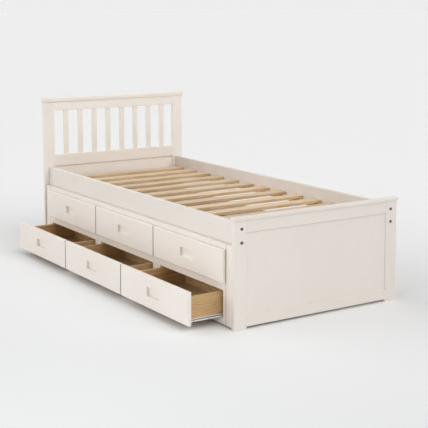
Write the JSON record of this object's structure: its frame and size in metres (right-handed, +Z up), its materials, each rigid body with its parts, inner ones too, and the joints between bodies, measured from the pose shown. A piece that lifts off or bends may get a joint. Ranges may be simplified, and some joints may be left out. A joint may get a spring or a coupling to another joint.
{
  "type": "single bed frame",
  "caption": "White-painted single bed frame with a slatted headboard, a panelled footboard and a roll-out guest-bed unit with drawers along one side.",
  "frame": {"origin": "on the floor, under the centre of the fixed frame: midway between the outer faces of the headboard and footboard posts, and midway between their outer edges", "axes": "+X from the headboard to the footboard, -Y towards the side the drawers and the guest unit come out of, +Z up"},
  "size_m": [2.1035, 1.1905, 0.925],
  "materials": {
    "painted_wood": "satin warm off-white paint over wood",
    "drawer_wood": "clear-lacquered oak-coloured wood",
    "bare_wood": "planed bare pine",
    "dark_steel": "dark bronze socket-head bolts",
    "zinc_steel": "zinc-plated steel",
    "runner_steel": "white epoxy-coated steel",
    "castor_plastic": "dark grey moulded nylon"
  },
  "bodies": {
    "bed_frame": {"barrel_nuts": "zinc_steel", "corner_bolts": "dark_steel", "deck_screws": "zinc_steel", "deck_slats": "bare_wood", "foot_bottom_rail": "painted_wood", "foot_cap": "painted_wood", "foot_panel": "painted_wood", "foot_post_drawer_side": "painted_wood", "foot_post_wall_side": "painted_wood", "foot_top_rail": "painted_wood", "head_bottom_rail": "painted_wood", "head_cap": "painted_wood", "head_cove_moulding": "painted_wood", "head_panel": "painted_wood", "head_post_drawer_side": "painted_wood", "head_post_wall_side": "painted_wood", "head_slat_rail": "painted_wood", "head_slats": "painted_wood", "head_top_rail": "painted_wood", "rail_dowels": "bare_wood", "side_rail_drawer_side": "painted_wood", "side_rail_wall_side": "painted_wood", "slat_cleats": "bare_wood"},
    "guest_unit": {"castor_brackets": "zinc_steel", "fixed_front_foot": "painted_wood", "fixed_front_head": "painted_wood", "fixed_front_middle": "painted_wood", "guest_cleats": "bare_wood", "guest_slats": "bare_wood", "unit_back": "painted_wood", "unit_bay_rail": "bare_wood", "unit_bottom_rail": "painted_wood", "unit_dividers": "bare_wood", "unit_end_foot": "painted_wood", "unit_end_head": "painted_wood", "unit_middle_rail": "painted_wood", "unit_muntins": "painted_wood", "unit_runners": "runner_steel", "unit_stile_foot": "painted_wood", "unit_stile_head": "painted_wood", "unit_top_rail": "painted_wood"},
    "drawer_head": {"drawer_back_head": "drawer_wood", "drawer_base_head": "drawer_wood", "drawer_front_head": "painted_wood", "drawer_runners_head": "runner_steel", "drawer_sides_head": "drawer_wood"},
    "drawer_middle": {"drawer_back_middle": "drawer_wood", "drawer_base_middle": "drawer_wood", "drawer_front_middle": "painted_wood", "drawer_runners_middle": "runner_steel", "drawer_sides_middle": "drawer_wood"},
    "drawer_foot": {"drawer_back_foot": "drawer_wood", "drawer_base_foot": "drawer_wood", "drawer_front_foot": "painted_wood", "drawer_runners_foot": "runner_steel", "drawer_sides_foot": "drawer_wood"},
    "castor_wheel_foot_back": {"castor_wheel_foot_back": "castor_plastic"},
    "castor_wheel_foot_front": {"castor_wheel_foot_front": "castor_plastic"},
    "castor_wheel_head_back": {"castor_wheel_head_back": "castor_plastic"},
    "castor_wheel_head_front": {"castor_wheel_head_front": "castor_plastic"}
  },
  "joints": [
    {"name": "guest_unit_roll", "type": "slide", "parent": "bed_frame", "child": "guest_unit", "axis": [0, -1, 0], "range_m": [0, 0.85]},
    {"name": "drawer_head_slide", "type": "slide", "parent": "guest_unit", "child": "drawer_head", "axis": [0, -1, 0], "range_m": [-0.188, 0.085]},
    {"name": "drawer_middle_slide", "type": "slide", "parent": "guest_unit", "child": "drawer_middle", "axis": [0, -1, 0], "range_m": [-0.188, 0.085]},
    {"name": "drawer_foot_slide", "type": "slide", "parent": "guest_unit", "child": "drawer_foot", "axis": [0, -1, 0], "range_m": [-0.188, 0.085]},
    {"name": "castor_roll_head_front", "type": "hinge", "parent": "guest_unit", "child": "castor_wheel_head_front", "pos_m": [-0.991, -0.425, 0.022], "axis": [1, 0, 0], "continuous": true},
    {"name": "castor_roll_head_back", "type": "hinge", "parent": "guest_unit", "child": "castor_wheel_head_back", "pos_m": [-0.991, 0.37, 0.022], "axis": [1, 0, 0], "continuous": true},
    {"name": "castor_roll_foot_front", "type": "hinge", "parent": "guest_unit", "child": "castor_wheel_foot_front", "pos_m": [0.991, -0.425, 0.022], "axis": [1, 0, 0], "continuous": true},
    {"name": "castor_roll_foot_back", "type": "hinge", "parent": "guest_unit", "child": "castor_wheel_foot_back", "pos_m": [0.991, 0.37, 0.022], "axis": [1, 0, 0], "continuous": true}
  ]
}
